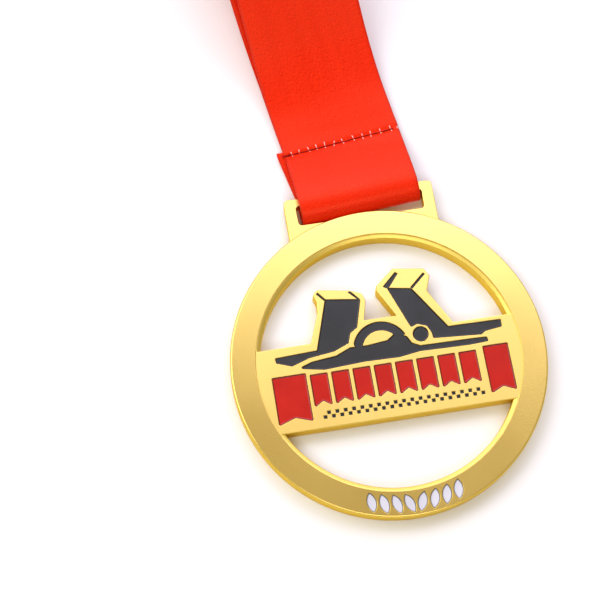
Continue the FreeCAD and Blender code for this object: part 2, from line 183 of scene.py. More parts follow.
def satin_material():
    """Woven satin: warp floats along the ribbon in stepped diagonals, with painted glints, faint streaks and
    painted shade along the edges.
    """
    s = Shader("ribbon_satin", Sheen_Weight=0.02, Sheen_Roughness=0.4, Sheen_Tint=(1.0, 0.3, 0.2, 1),
               Specular_IOR_Level=0.52, Specular_Tint=(1.0, 0.30, 0.14, 1), Anisotropic=0.4)
    cloth = s.add("UVMap", {"uv_map": "cloth"}).outputs["UV"]
    parts = s.add("SeparateXYZ", _0=cloth)
    across, along = parts.outputs[0], parts.outputs[1]
    lean = s.math("ADD", across, s.math("MULTIPLY", along, TWILL_LEAN))
    twilled = s.add("CombineXYZ", _0=lean, _1=along).outputs[0]
    yarn = s.math("SINE", s.math("MULTIPLY", across, 2 * math.pi / WARP_PITCH))
    floats = s.noise(s.scaled(twilled, (6500.0, 1700.0, 1.0)), 1.0, 1.0, 0.6)
    painted_glints = s.noise(s.scaled(twilled, (5200.0, 900.0, 1.0)), 1.0, 1.0)
    streak = s.noise(s.scaled(cloth, (420.0, 22.0, 1.0)), 1.0, 2.0)
    height = s.math("ADD", s.math("MULTIPLY", yarn, 0.12), floats)
    tone = s.math("ADD", s.math("MULTIPLY", floats, 0.88), s.math("MULTIPLY", streak, 0.12))
    red = s.mix(s.span(tone, 0.32, 0.68), (0.66, 0.010, 0.001, 1), (0.96, 0.030, 0.005, 1))
    # Painted glints: light spots in the base colour where the floats would catch the light.
    red = s.mix(s.span(painted_glints, 0.70, 0.82), red, (1.0, 0.11, 0.05, 1))
    # Painted shade: a darker band along each edge of the ribbon.
    selvedge_shade = s.span(s.math("ABSOLUTE", across), SELVEDGE_SHADE_FROM, SELVEDGE_SHADE_TO)
    red = s.mix(s.math("MULTIPLY", selvedge_shade, 0.5), red, (0.45, 0.012, 0.004, 1))
    s.set("Base Color", red)
    s.set("Roughness", s.span(floats, 0.3, 0.7, 0.28, 0.40))
    s.set("Normal", s.bump(height, 0.00004, 0.5))
    return s.material


def thread_material(name, colour, pale):
    """Twisted sewing thread."""
    s = Shader(name, Roughness=0.8, Specular_IOR_Level=0.1)
    twist = s.noise(s.place(), 4200.0, 1.0)
    s.set("Base Color", s.mix(twist, colour, pale))
    s.set("Normal", s.bump(twist, 0.00005, 0.6))
    return s.material


def thread_red():
    return thread_material("thread_red", (0.16, 0.002, 0.001, 1), (0.34, 0.006, 0.003, 1))


def thread_pale():
    return thread_material("thread_pale", (0.85, 0.45, 0.40, 1), (1.0, 0.80, 0.75, 1))


def floor_material():
    return Shader("pale_floor", Base_Color=(0.93, 0.915, 0.905, 1), Roughness=0.85).material


# ---------------------------------------------------------------- outlines read from the CAD frame

FLAT = 0.002            # mm, a triangle is level when its corners' heights differ by less
SLIVER = 1e-7           # mm2, triangles that are smaller are skipped
SAME_LEVEL = 0.02       # mm, faces at one height
ARCS_FROM = 30.0        # mm from the medal's centre, where arcs have chords that are long enough to divide
SAME_REACH = 0.01       # mm, both ends of a chord on one arc
LEAST_SPREAD = 0.45     # keeps the offset of a sharp corner short
LEAST_TURN = 0.15       # sine of the corner, from which uneven distances are mitred


def flat_triangles(node):
    """Level triangles of a CAD node as (height, facing up, three corners), in mm."""
    mesh = frame["nodes"][node].data
    mesh.calc_loop_triangles()
    points = [tuple(round(c / MM, 4) for c in v.co) for v in mesh.vertices]
    found = []
    for triangle in mesh.loop_triangles:
        a, b, c = (points[v] for v in triangle.vertices)
        turn = (b[0] - a[0]) * (c[1] - a[1]) - (b[1] - a[1]) * (c[0] - a[0])
        if max(a[2], b[2], c[2]) - min(a[2], b[2], c[2]) < FLAT and abs(turn) > SLIVER:
            found.append((round(a[2], 2), turn > 0, (a[:2], b[:2], c[:2])))
    return found


def levels(triangles, up=True):
    """Heights of the faces that look up, or down, lowest first."""
    return sorted({height for height, facing, _ in triangles if facing == up})


def outlines(triangles, height):
    """Closed outlines of the upward faces at a height, each with the face on its left, longest first."""
    edges = set()
    for level, up, corners in triangles:
        if up and abs(level - height) < SAME_LEVEL:
            for p, q in zip(corners, corners[1:] + corners[:1]):
                if (q, p) in edges:
                    edges.remove((q, p))
                else:
                    edges.add((p, q))
    follow = dict(sorted(edges))
    loops = []
    while follow:
        start = min(follow)
        loop = [start]
        point = follow.pop(start)
        while point != start:
            loop.append(point)
            point = follow.pop(point)
        loops.append(finer(loop))
    return sorted(loops, key=lambda loop: -abs(area(loop)))


def area(loop):
    """Area of an outline, positive when it runs anticlockwise."""
    x, y = np.array(loop).T
    return 0.5 * float(np.sum(x * np.roll(y, -1) - np.roll(x, -1) * y))


def finer(loop, step=math.radians(1.5), most=math.radians(8)):
    """Divide the short chords that stand for arcs about the medal's centre."""
    out = []
    for p, q in zip(loop, loop[1:] + loop[:1]):
        out.append(p)
        reach = math.hypot(*p)
        turn = math.remainder(math.atan2(q[1], q[0]) - math.atan2(p[1], p[0]), 2 * math.pi)
        on_arc = reach > ARCS_FROM and abs(reach - math.hypot(*q)) < SAME_REACH
        if on_arc and step < abs(turn) < most:
            start = math.atan2(p[1], p[0])
            parts = math.ceil(abs(turn) / step)
            angles = [start + turn * k / parts for k in range(1, parts)]
            out += [(reach * math.cos(angle), reach * math.sin(angle)) for angle in angles]
    return out


def unit(rows):
    return rows / np.linalg.norm(rows, axis=1)[:, None]


def offset(loop, distance):
    """An outline moved away from the face on its left, with mitred corners.

    The distance is one number, or one for each edge.
    """
    points = np.array(loop)
    after = np.broadcast_to(distance, len(points)).astype(float)
    before = np.roll(after, 1)
    ahead = unit(np.roll(points, -1, 0) - points)
    right = np.stack([ahead[:, 1], -ahead[:, 0]], 1)
    last = np.roll(right, 1, 0)
    cross = last[:, 0] * right[:, 1] - last[:, 1] * right[:, 0]
    spread = np.maximum(1 + (right * last).sum(1), LEAST_SPREAD)
    moved = (right * after[:, None] + last * before[:, None]) / spread[:, None]
    mitred = np.stack([before * right[:, 1] - after * last[:, 1],
                       after * last[:, 0] - before * right[:, 0]], 1)
    uneven = (np.abs(before - after) > 1e-6) & (np.abs(cross) > LEAST_TURN)
    moved[uneven] = mitred[uneven] / cross[uneven, None]
    return points + moved


# ---------------------------------------------------------------- mesh helpers

LEVEL_NORMAL = 0.9999   # a face is level when its normal's Z passes this
ROUND_PARTS = 4         # chords in a quarter round
METAL_ANGLE = 42.0      # degrees between faces, beyond which an edge is sharp
CLOTH_ANGLE = 60.0
BESIDE_ANGLE = 45.0     # a rounded edge's face takes the level face's normal up to this turn
WELD = 0.0008           # mm between points that are merged
SHORTEST = 0.0005       # mm, shorter edges are dissolved


def quarter_turns():
    return [math.pi / 2 * k / ROUND_PARTS for k in range(ROUND_PARTS + 1)]


def round_over(radius, top):
    """Quarter round from the top face out to the wall: (offset, height) pairs."""
    return [(-radius + radius * math.sin(a), top - radius + radius * math.cos(a)) for a in quarter_turns()]


def round_under(radius, bottom):
    """Quarter round from the wall in to the bottom face."""
    return [(-radius + radius * math.cos(a), bottom + radius - radius * math.sin(a))
            for a in quarter_turns()]


def add_wall(bm, loop, profile):
    """Sweep (offset, height) pairs round an outline, from the top down."""
    rings = [[bm.verts.new((x * MM, y * MM, z * MM)) for x, y in offset(loop, away)] for away, z in profile]
    for upper, lower in zip(rings, rings[1:]):
        for k in range(len(loop)):
            n = (k + 1) % len(loop)
            bm.faces.new((upper[k], lower[k], lower[n], upper[n]))


def add_fill(bm, loops, z, up=True):
    """Fill the region that the outlines bound, by the even-odd rule."""
    points, edges = [], []
    for loop in loops:
        first = len(points)
        points += [Vector((float(x), float(y))) for x, y in loop]
        edges += [(first + k, first + (k + 1) % len(loop)) for k in range(len(loop))]
    found, _, triangles, _, _, _ = delaunay_2d_cdt(points, edges, [], 1, 1e-6)
    verts = [bm.verts.new((p.x * MM, p.y * MM, z * MM)) for p in found]
    centres = np.array([[sum(found[v].x for v in t) / 3, sum(found[v].y for v in t) / 3] for t in triangles])
    inside = np.zeros(len(triangles), int)
    for loop in loops:
        a = np.array(loop)
        b = np.roll(a, -1, 0)
        straddles = (a[:, 1][None] > centres[:, 1][:, None]) != (b[:, 1][None] > centres[:, 1][:, None])
        rise = np.where(b[:, 1] == a[:, 1], 1e-12, b[:, 1] - a[:, 1])
        cross = a[:, 0] + (centres[:, 1][:, None] - a[:, 1]) * (b[:, 0] - a[:, 0]) / rise
        inside += (straddles & (centres[:, 0][:, None] < cross)).sum(1)
    for keep, triangle in zip(inside % 2, triangles):
        if keep:
            corners = [verts[v] for v in triangle]
            turn = (corners[1].co - corners[0].co).cross(corners[2].co - corners[0].co).z
            bm.faces.new(corners if (turn > 0) == up else corners[::-1])


def finish_mesh(bm, name, material, smooth_angle=METAL_ANGLE):
    """A piece with its double points merged, and with no slivers or loose points."""
    bmesh.ops.remove_doubles(bm, verts=bm.verts, dist=WELD * MM)
    bmesh.ops.dissolve_degenerate(bm, edges=bm.edges, dist=SHORTEST * MM)
    loose = [v for v in bm.verts if not v.link_faces]
    bmesh.ops.delete(bm, geom=loose, context="VERTS")
    return make_piece(bm, name, material, smooth_angle)


def make_piece(bm, name, material, smooth_angle):
    """A smooth-shaded object, with sharp edges where its faces turn beyond the angle."""
    mesh = bpy.data.meshes.new(name)
    bm.to_mesh(mesh)
    bm.free()
    mesh.shade_smooth()
    mesh.set_sharp_from_angle(angle=math.radians(smooth_angle))
    piece = bpy.data.objects.new(name, mesh)
    bpy.context.scene.collection.objects.link(piece)
    mesh.materials.append(material)
    return piece


def even_shading(piece):
    """Corner normals that keep the level faces flat and let only the rounded edges beside them turn."""
    mesh = piece.data
    level = {v: face.normal.copy() for face in mesh.polygons if abs(face.normal.z) > LEVEL_NORMAL
             for v in face.vertices}
    turned = math.cos(math.radians(BESIDE_ANGLE))
    normals = []
    for face in mesh.polygons:
        for corner, v in zip(face.loop_indices, face.vertices):
            flat = level.get(v)
            beside = flat is not None and face.normal.dot(flat) > turned
            normals.append(flat if beside else mesh.corner_normals[corner].vector.copy())
    mesh.normals_split_custom_set(normals)


# ---------------------------------------------------------------- casting

POCKET_EDGE = 0.11      # rounding of the metal walls round the enamel
PLATE_EDGE = 0.22       # rounding of the plate's and lug's edges
STEP_EDGE = 0.10        # rounding of the ring face's inner edge
STEP_FOOT = 0.07        # hollow where the ring face meets the lip
WALL_NORMAL = 0.95      # faces whose normal's Z is below this have the walls' rougher finish and painted shade
ON_RIM = 0.02           # mm, a point of the lug's outline on the ring's rim
LUG_SUNK = 0.8          # mm that the lug goes into the ring
HOLE_SHARE = 0.9        # of the rim's radius, which the ring's hole stays below
PLATE_REACH = 0.81      # share of the medal's radius that openings reach and pockets don't
LEAST_OPENING = 250.0   # mm2, smaller outlines are pockets
ON_ARC = 0.05           # mm, the middle of an opening's edge on the lip's arc
# Section of the lip's bevel from its flat to its wall, as shares of the bevel's depth and width.
LIP_LINE = [(0.0, -0.05), (0.04, 0.03), (0.15, 0.15), (0.3, 0.3), (0.55, 0.55), (0.8, 0.8), (0.92, 0.91),
            (1.0, 0.97), (1.12, 0.994), (1.3, 1.0)]


def pull_inside(loop, radius):
    """Sink the stretch of the lug's outline that runs along the ring into the ring."""
    on_ring = [abs(math.hypot(*p) - radius) < ON_RIM for p in loop]
    out = []
    for k, p in enumerate(loop):
        before, after = on_ring[k - 1], on_ring[(k + 1) % len(loop)]
        sunk = tuple(c * (1 - LUG_SUNK / radius) for c in p)
        if not on_ring[k]:
            out.append(p)
        elif before and after:
            out.append(sunk)
        else:
            out += [sunk, p] if before else [p, sunk]
    return out


def opening_profile(loop, top, width, drop, radius):
    """Wall of an opening: bevelled along the lip's arc, and only just rounded along the plate's own edges."""
    points = np.array(loop)
    middles = (points + np.roll(points, -1, 0)) / 2
    on_lip = np.abs(np.hypot(middles[:, 0], middles[:, 1]) - radius) < ON_ARC
    profile = []
    for down, out in LIP_LINE:
        depth = down * drop
        left = PLATE_EDGE - min(depth, PLATE_EDGE)
        rounding = math.sqrt(PLATE_EDGE ** 2 - left ** 2) - PLATE_EDGE
        profile.append((np.where(on_lip, out * width, rounding), top - depth))
    return profile, on_lip


def add_pocket(bm, loop, top, floor):
    """Walls and floor of a pocket. Gives back the edge of its rounding on the top face."""
    add_wall(bm, loop, round_over(POCKET_EDGE, top) + [(0, floor)])
    add_fill(bm, [loop], floor)
    return offset(loop, -POCKET_EDGE)


def add_ring(bm, rim, inner, leaves, heights):
    """The ring's outer wall, its step down to the plate, its leaf pockets and its top face."""
    plate_top, ring_floor, ring_top = heights
    round_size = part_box("medal_casting")[1].x / MM - max(x for x, _ in rim)
    section = round_over(round_size, ring_top) + round_under(round_size, 0)
    add_wall(bm, rim, [(away + round_size, z) for away, z in section])
    hollow = STEP_FOOT * 0.3
    foot = [(0, plate_top + STEP_FOOT), (hollow, plate_top + hollow), (STEP_FOOT, plate_top)]
    add_wall(bm, inner, round_over(STEP_EDGE, ring_top) + foot)
    pockets = [add_pocket(bm, leaf, ring_top, ring_floor) for leaf in leaves]
    add_fill(bm, [rim, offset(inner, -STEP_EDGE)] + pockets, ring_top)


def add_openings(bm, openings, plate_top):
    """Walls of the openings. Gives back their edges on the plate's face and on the medal's back."""
    lip_radius = max(math.hypot(*p) for opening in openings for p in opening)
    hole_radius, bevel_foot = lip_foot()
    bevel = lip_radius - hole_radius
    edges = []
    feet = []
    for opening in openings:
        profile, on_lip = opening_profile(opening, plate_top, bevel, plate_top - bevel_foot, lip_radius)
        down = [(np.where(on_lip, away + bevel, away), z) for away, z in round_under(PLATE_EDGE, 0)]
        add_wall(bm, opening, profile + down)
        edges.append(offset(opening, profile[0][0]))
        feet.append(offset(opening, down[-1][0]))
    return edges, feet


def make_ring_and_plate(triangles, plate_floor, ring_floor, plate_top, ring_top):
    bm = bmesh.new()
    rim, inner, *leaves = outlines(triangles, ring_top)
    add_ring(bm, rim, inner, leaves, (plate_top, ring_floor, ring_top))
    _, *holes = outlines(triangles, plate_top)
    openings = [hole for hole in holes if is_opening(hole)]
    edges, feet = add_openings(bm, openings, plate_top)
    pockets = [add_pocket(bm, hole, plate_top, plate_floor) for hole in holes if hole not in openings]
    add_fill(bm, [offset(inner, STEP_FOOT)] + edges + pockets, plate_top)
    add_fill(bm, [rim] + feet, 0, up=False)
    return bm


def lip_foot():
    """Radius of the ring's hole, and the height of the foot of its bevel, in mm."""
    points = [v.co / MM for v in frame["nodes"]["medal_casting"].data.vertices]
    on_back = sorted({round(math.hypot(p.x, p.y), 2) for p in points if abs(p.z) < FLAT})
    radius = [r for r in on_back if r < HOLE_SHARE * on_back[-1]][-1]
    return radius, max(p.z for p in points if abs(math.hypot(p.x, p.y) - radius) < SAME_REACH)


def is_opening(loop):
    """Openings reach the lip; pockets stay on the plate."""
    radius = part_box("medal_casting")[1].x / MM
    return max(math.hypot(*p) for p in loop) > PLATE_REACH * radius and abs(area(loop)) > LEAST_OPENING


def make_lug(triangles, lug_bottom, lug_top):
    bm = bmesh.new()
    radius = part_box("medal_casting")[1].x / MM
    loops = [pull_inside(loop, radius) for loop in outlines(triangles, lug_top)]
    for loop in loops:
        add_wall(bm, loop, round_over(PLATE_EDGE, lug_top) + round_under(PLATE_EDGE, lug_bottom))
    flat = [offset(loop, -PLATE_EDGE) for loop in loops]
    add_fill(bm, flat, lug_top)
    add_fill(bm, flat, lug_bottom, up=False)
    return bm


def make_casting():
    gold = gold_plate()
    triangles = flat_triangles("medal_casting")
    plate_floor, lug_top, ring_floor, plate_top, ring_top = levels(triangles)
    lug_bottom = levels(triangles, up=False)[-1]
    blank = make_ring_and_plate(triangles, plate_floor, ring_floor, plate_top, ring_top)
    casting = finish_mesh(blank, "gold_casting", gold)
    lug = finish_mesh(make_lug(triangles, lug_bottom, lug_top), "lug_blank", gold)
    union = casting.modifiers.new("join_lug", "BOOLEAN")
    union.operation = "UNION"
    union.solver = "EXACT"
    union.object = lug
    apply_modifiers(casting)
    bpy.data.objects.remove(lug)
    casting.data.set_sharp_from_angle(angle=math.radians(METAL_ANGLE))
    even_shading(casting)
    finish_faces(casting, plate_top)
    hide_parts("medal_casting")
    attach(casting, "medal")


def finish_faces(casting, plate_top):
    """Blasted finish on the level faces up to the plate's height, and rougher plating with painted shade on bevels
    and walls.
    """
    casting.data.materials.append(gold_blasted())
    casting.data.materials.append(gold_wall_shaded())
    for face in casting.data.polygons:
        if face.normal.z > LEVEL_NORMAL and face.center.z < (plate_top + 0.05) * MM:
            face.material_index = 1
        elif abs(face.normal.z) < WALL_NORMAL:
            face.material_index = 2


def apply_modifiers(piece):
    graph = bpy.context.evaluated_depsgraph_get()
    mesh = bpy.data.meshes.new_from_object(piece.evaluated_get(graph))
    piece.modifiers.clear()
    piece.data = mesh


# ---------------------------------------------------------------- enamel

# Section of the enamel's creep up its wall: share of its reach, and rise in mm.
MENISCUS = [(0.0, 0.22), (-0.2, 0.13), (-0.45, 0.06), (-0.72, 0.018), (-1.0, 0.0)]
PENNANT_REACH = 0.42    # mm from the wall, how far the creep reaches into each kind of field
CHEQUER_REACH = 0.12
FIELD_REACH = 0.34


def make_enamel(node, material, reach):
    """A colour field that creeps up its pocket's wall at the edge."""
    triangles = flat_triangles(node)
    top = levels(triangles)[-1]
    floor = levels(triangles, up=False)[0]
    bm = bmesh.new()
    for loop in outlines(triangles, top):
        edge = [(away * reach, top + rise) for away, rise in reversed(MENISCUS)]
        add_wall(bm, loop, edge + [(0.0, floor)])
        add_fill(bm, [offset(loop, -reach)], top)
        add_fill(bm, [loop], floor, up=False)
    piece = finish_mesh(bm, node + "_fill", material)
    even_shading(piece)
    # How far each point has climbed the wall, which the enamel's painted shade follows.
    climb = piece.data.attributes.new("climb", "FLOAT", "POINT")
    for vertex, mark in zip(piece.data.vertices, climb.data):
        mark.value = min(max((vertex.co.z / MM - top) / MENISCUS[0][1], 0.0), 1.0)
    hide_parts(node)
    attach(piece, "medal")


def enamel_reach(node):
    if "pennant" in node:
        return PENNANT_REACH
    return CHEQUER_REACH if "chequered" in node else FIELD_REACH


def make_all_enamel():
    colours = {"enamel_black": enamel_black(), "enamel_red": enamel_red(), "enamel_white": enamel_white()}
    slots = {row["node"]: row["material_slot"] for row in frame["record"]["subparts"]}
    for node in sorted(frame["nodes"]):
        if node.startswith("enamel_"):
            make_enamel(node, colours[slots[node]], enamel_reach(node))


# ---------------------------------------------------------------- ribbon
# Lengths are in mm.

RIBBON_WIDTH = 30.0
RIBBON_LENGTH = 900.0
PLY = 0.42
LOOP_TILT = math.radians(4.6)
LEG_TILT = math.radians(9.4)
SEAM_AT = 15.3          # from the lug's bar to the seam, along the ribbon
BACK_LEVEL = 0.62       # height of each ply's middle at the seam
TAIL_LEVEL = 1.15
FRONT_LEVEL = 1.75
ROLL_AT = 66.0          # from the seam to the roll's middle
ROLL_LIFT = 0.05        # between the roll and the floor
BACK_DROP = 0.82        # between the front and back legs' middles where they meet the roll
SLOT_REACH = 3.5        # the tail ply keeps to the slot's middle this far from the bar
TAIL_SHARE = 0.48       # of the loop's stations, those on the tail
LEAD_IN = 2.5           # length on each side of the seam over which the ribbon turns to the legs' tilt
TAIL_ASIDE = 1.8        # how far the tail ply shows beside the front ply at the seam
BACK_ASIDE = 1.35       # the same for the back leg, at the roll
DRIFT_FROM = 20.0       # from the seam to where the back leg starts to show, and how far on it is all there
DRIFT_RUN = 30.0
CORE_RADIUS = 4.2       # of the roll's hollow middle
TURN_STATIONS = 60      # in one turn of the roll
SWAY_FROM = 12.0        # the front leg's sway grows to here from the seam, and fades to SWAY_END
SWAY_FADE = 15.0
SWAY_END = 62.0
LEG_STEP = 0.5          # between the stations of each stretch
ROLL_STEP = 1.3
BACK_STEP = 0.6


def bar_centre():
    """Middle of the lug's bar, which the ribbon swings about, in mm."""
    swing = frame["joints"][0]
    return Vector(swing["pos_m"]) / MM


def smooth_line(points, spacing=0.25):
    """A centripetal Catmull-Rom line through the points, evenly spaced."""
    p = np.array(points, float)
    p = np.vstack([2 * p[0] - p[1], p, 2 * p[-1] - p[-2]])
    line = []
    for a, b, c, d in zip(p, p[1:], p[2:], p[3:]):
        t1 = max(np.linalg.norm(b - a) ** 0.5, 1e-4)
        t2 = t1 + max(np.linalg.norm(c - b) ** 0.5, 1e-4)
        t3 = t2 + max(np.linalg.norm(d - c) ** 0.5, 1e-4)
        for t in np.linspace(t1, t2, 24, endpoint=False):
            ab = a + (b - a) * t / t1
            bc = b + (c - b) * (t - t1) / (t2 - t1)
            cd = c + (d - c) * (t - t2) / (t3 - t2)
            abc = ab + (bc - ab) * t / t2
            bcd = bc + (cd - bc) * (t - t1) / (t3 - t1)
            line.append(abc + (bcd - abc) * (t - t1) / (t2 - t1))
    line.append(p[-2])
    return spaced(np.array(line), spacing)


def reach_along(line):
    """Length of the line from its start to each of its points."""
    steps = np.linalg.norm(np.diff(line, axis=0), axis=1)
    return np.concatenate([[0], np.cumsum(steps)])


def spaced(line, spacing):
    """The same line with even spacing."""
    reach = reach_along(line)
    count = max(2, int(round(reach[-1] / spacing)) + 1)
    marks = np.linspace(0, reach[-1], count)
    return np.stack([np.interp(marks, reach, line[:, k]) for k in range(line.shape[1])], 1)


def loop_line():
    """Tail under the bar, fold in the slot, front ply back to the seam: (along, up) from the bar, in mm."""
    bend = [(-1.6, 0.36), (-2.9, 0.66), (-3.95, 1.35), (-4.45, 2.3), (-4.3, 3.4), (-3.55, 4.5), (-2.4, 5.35)]
    tail = [(16.1, TAIL_LEVEL), (SEAM_AT, TAIL_LEVEL), (12.0, 0.85), (7.5, 0.42), (2.5, 0.34)]
    front = [(-1.1, 5.84), (0.2, 5.98), (1.6, 5.86), (3.3, 5.5), (5.3, 4.95), (7.6, 4.25), (10.0, 3.48),
             (12.6, 2.62)]
    return tail + bend + front + [(SEAM_AT, FRONT_LEVEL)]


def roll_turns(radius, start_length):
    """Winding of the double ply, from the top of the roll inwards."""
    pitch = math.pi * (radius ** 2 - CORE_RADIUS ** 2) / start_length
    turns = (radius - CORE_RADIUS) / pitch
    angles = np.linspace(0, 2 * math.pi * turns, int(turns * TURN_STATIONS))
    return angles, radius - pitch * angles / (2 * math.pi), pitch


def front_leg_line(top):
    """Front leg from the seam up to the top of the roll, as (along, up) from the seam's foot."""
    return [(0, FRONT_LEVEL), (5, FRONT_LEVEL + 0.15), (14, 2.9), (24, 6.6), (34, 12.8), (44, 19.6),
            (54, 25.2), (ROLL_AT, top)]


def back_leg_line(top):
    """Back leg from beside the tail's end up to the front leg's underside at the roll."""
    return [(-3.0, BACK_LEVEL - 0.1), (0, BACK_LEVEL), (6, 0.62), (15, 0.9), (25, 2.6), (34, 6.2),
            (43, 12.2), (51, 19.3), (58, 24.8), (ROLL_AT, top - BACK_DROP)]


def core_line(wind, unwind, heading):
    """The fold in the roll's hollow, where the double ply turns back."""
    onward = np.array([math.sin(heading), -math.cos(heading)])
    inward = -np.array([math.cos(heading), math.sin(heading)])
    bend = ((1.6, 0.35), (3.0, 1.6), (3.1, 3.2), (1.9, 4.2), (0.8, 3.4), (0.5, 2.0))
    turn = [wind[-1] + onward * a + inward * b for a, b in bend]
    return [wind[-2], wind[-1]] + turn + [unwind[0], unwind[1]]


def ribbon_run():
    """The ribbon's stretches in order, each as (along, up) points in mm in its own upright plane."""
    roll_radius = (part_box("neck_ribbon")[1].z / MM - ROLL_LIFT) / 2
    outer = roll_radius - PLY * 0.6
    centre = np.array([ROLL_AT, roll_radius + ROLL_LIFT])
    loop = smooth_line(loop_line())
    front_leg = smooth_line(front_leg_line(centre[1] + outer))
    back_leg = smooth_line(back_leg_line(centre[1] + outer))
    used = sum(reach_along(line)[-1] for line in (loop, front_leg, back_leg))
    angles, radii, pitch = roll_turns(outer, (RIBBON_LENGTH - used) / 2)
    heading = math.pi / 2 - angles
    spokes = np.stack([np.cos(heading), np.sin(heading)], 1)
    wind = centre + radii[:, None] * spokes
    unwind = (centre + (radii - pitch / 2)[:, None] * spokes)[::-1]
    core = smooth_line(core_line(wind, unwind, heading[-1]))
    return loop, front_leg, wind, core, unwind, back_leg[::-1]


def to_space(points, tilt, foot, aside=0.0):
    """Stations in the row frame, in mm, for a flat line that leaves a foot point at a tilt."""
    up_ribbon = np.array([-math.sin(tilt), math.cos(tilt), 0])
    across = np.array([math.cos(tilt), math.sin(tilt), 0])
    aside = np.broadcast_to(aside, len(points))
    return [(foot + up_ribbon * along + across * side + np.array([0, 0, up]), across)
            for (along, up), side in zip(points, aside)]


def ribbon_stations():
    """All stations as (centre, across), with the seam's place in the list."""
    loop, front_leg, wind, core, unwind, back_leg = ribbon_run()
    bar = np.array(bar_centre())
    bar[2] = 0
    seam = bar + SEAM_AT * np.array([-math.sin(LOOP_TILT), math.cos(LOOP_TILT), 0])
    on_tail = np.arange(len(loop)) < len(loop) * TAIL_SHARE
    under = np.clip((loop[:, 0] - SLOT_REACH) / (SEAM_AT - SLOT_REACH), 0, 1) * on_tail
    stations = to_space(loop, LOOP_TILT, bar, -TAIL_ASIDE * under)
    seam_index = len(stations) - 1
    for part, spacing in ((front_leg, LEG_STEP), (wind, ROLL_STEP), (core, LEG_STEP)):
        stations += to_space(spaced(part, spacing)[1:], LEG_TILT, seam)
    unwind = spaced(unwind, ROLL_STEP)[1:]
    stations += to_space(unwind, LEG_TILT, seam, -BACK_ASIDE * np.linspace(0, 1, len(unwind)))
    back_leg = spaced(back_leg, BACK_STEP)[1:]
    drift = np.clip((back_leg[:, 0] - DRIFT_FROM) / DRIFT_RUN, 0, 1)
    stations += to_space(back_leg, LEG_TILT, seam, -BACK_ASIDE * drift ** 1.2)
    return stations, seam_index


def turn_at_seam(across, past):
    """Turn the ribbon evenly from the loop's tilt to the legs' tilt as it passes the seam."""
    near = np.abs(past) < LEAD_IN
    share = (past[near, None] + LEAD_IN) / (2 * LEAD_IN)
    across[near] = unit(across[0] * (1 - share) + across[-1] * share)


def ribbon_section():
    """Outline of the ribbon's cross-section, with rounded selvedges, as (across, up) in mm."""
    half = RIBBON_WIDTH / 2
    edge = PLY / 2
    shoulder = half - edge * 0.3
    columns = np.linspace(-half + edge, half - edge, 41)
    section = [(v, PLY / 2) for v in columns]
    section += [(shoulder, PLY * 0.35), (half, 0), (shoulder, -PLY * 0.35)]
    section += [(v, -PLY / 2) for v in columns[::-1]]
    return section + [(-shoulder, -PLY * 0.35), (-half, 0), (-shoulder, PLY * 0.35)]


def join_rings(bm, rings):
    """Faces between neighbouring rings, and a cap on each end."""
    count = len(rings[0])
    for first, second in zip(rings, rings[1:]):
        for n in range(count):
            m = (n + 1) % count
            bm.faces.new((first[n], first[m], second[m], second[n]))
    bm.faces.new(rings[0][::-1])
    bm.faces.new(rings[-1])


def map_cloth(bm, cloth, widths, reach):
    """UV map of the cloth's own width and length, in metres, on the faces between the rings."""
    count = len(widths)
    bm.faces.ensure_lookup_table()
    for k in range(len(reach) - 1):
        for n in range(count):
            m = (n + 1) % count
            corners = ((n, k), (m, k), (m, k + 1), (n, k + 1))
            for loop, (col, row) in zip(bm.faces[k * count + n].loops, corners):
                loop[cloth].uv = (widths[col] * MM, reach[row] * MM)


def make_ribbon():
    """The whole ribbon as one closed strip. Gives back the middle of its seam."""
    stations, seam_index = ribbon_stations()
    centres, across = (np.array(part) for part in zip(*stations))
    reach = reach_along(centres)
    turn_at_seam(across, reach - reach[seam_index])
    outward = unit(np.cross(across, unit(np.gradient(centres, axis=0))))
    section = ribbon_section()
    bm = bmesh.new()
    cloth = bm.loops.layers.uv.new("cloth")
    rings = []
    for centre, side, out, past in zip(centres, across, outward, reach - reach[seam_index]):
        lifts = [(v, lift + (seam_groove(past, v) + sway(past, v))) for v, lift in section]
        rings.append([bm.verts.new((centre + side * v + out * lift) * MM) for v, lift in lifts])
    join_rings(bm, rings)
    map_cloth(bm, cloth, [v for v, _ in section], reach)
    bmesh.ops.recalc_face_normals(bm, faces=bm.faces)
    piece = make_piece(bm, "satin_ribbon", satin_material(), CLOTH_ANGLE)
    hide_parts("neck_ribbon")
    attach(piece, "ribbon")
    return centres[seam_index]


# Seam and its thread, in mm.
GROOVE_DEPTH = 0.30
GROOVE_WIDTH = 0.42
PUCKER_HEIGHT = 0.13
PUCKER_PITCH = 1.9
SEAM_END = 1.9          # from the ribbon's edge to the last stitch
STITCH_GAPS = (1.9, 3.1)
RUN_RADIUS = 0.13       # of each kind of strand
TICK_RADIUS = 0.115
END_RADIUS = 0.1
KNOT_RADIUS = 0.14
STUB_RADIUS = 0.11


def seam_groove(distance, v):
    """Sunk line under the stitches, with small puckers on both sides."""
    sunk = -GROOVE_DEPTH * math.exp(-(distance / GROOVE_WIDTH) ** 2)
    ripple = math.sin(2 * math.pi * v / PUCKER_PITCH + distance)
    pucker = PUCKER_HEIGHT * ripple * math.exp(-((abs(distance) - 0.9) / 0.7) ** 2)
    return sunk + pucker


def sway(past, v):
    """Slight unevenness of the front leg between the seam and the roll."""
    share = min(max(past / SWAY_FROM, 0), 1) * min(max((SWAY_END - past) / SWAY_FADE, 0), 1)
    return share * (0.16 * math.sin(v / 5.5 + past / 9) + 0.12 * math.sin(v / 9 - past / 14 + 1.0))


